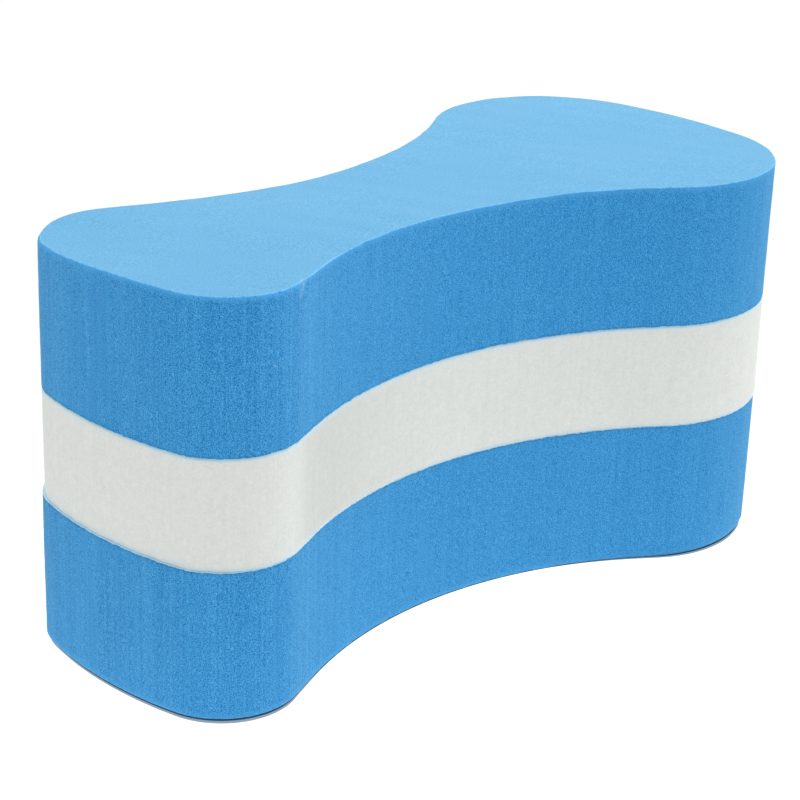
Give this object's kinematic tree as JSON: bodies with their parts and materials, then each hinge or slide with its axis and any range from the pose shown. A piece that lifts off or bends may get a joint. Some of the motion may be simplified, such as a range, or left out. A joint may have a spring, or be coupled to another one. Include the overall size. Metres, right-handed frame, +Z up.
{
  "type": "pull buoy",
  "caption": "Laminated foam pull buoy: an hourglass float with a small and a large lobe, a pale core sheet glued between blue outer sheets, and two thigh recesses.",
  "frame": {"origin": "on the bottom face, in the middle of the length and of the width", "axes": "+X along the length towards the large lobe, +Y across the width, +Z up through the layers"},
  "size_m": [0.24, 0.115, 0.12],
  "materials": {
    "blue_foam": "matt closed-cell foam, sky blue, with a fine cell grain",
    "white_foam": "matt closed-cell foam, off-white, with a fine cell grain",
    "glue": "thin clear contact adhesive, slightly milky"
  },
  "bodies": {
    "root": {"lower_foam_block": "blue_foam", "lower_glue_film": "glue", "middle_foam_block": "white_foam", "upper_glue_film": "glue", "upper_foam_block": "blue_foam"}
  },
  "joints": []
}
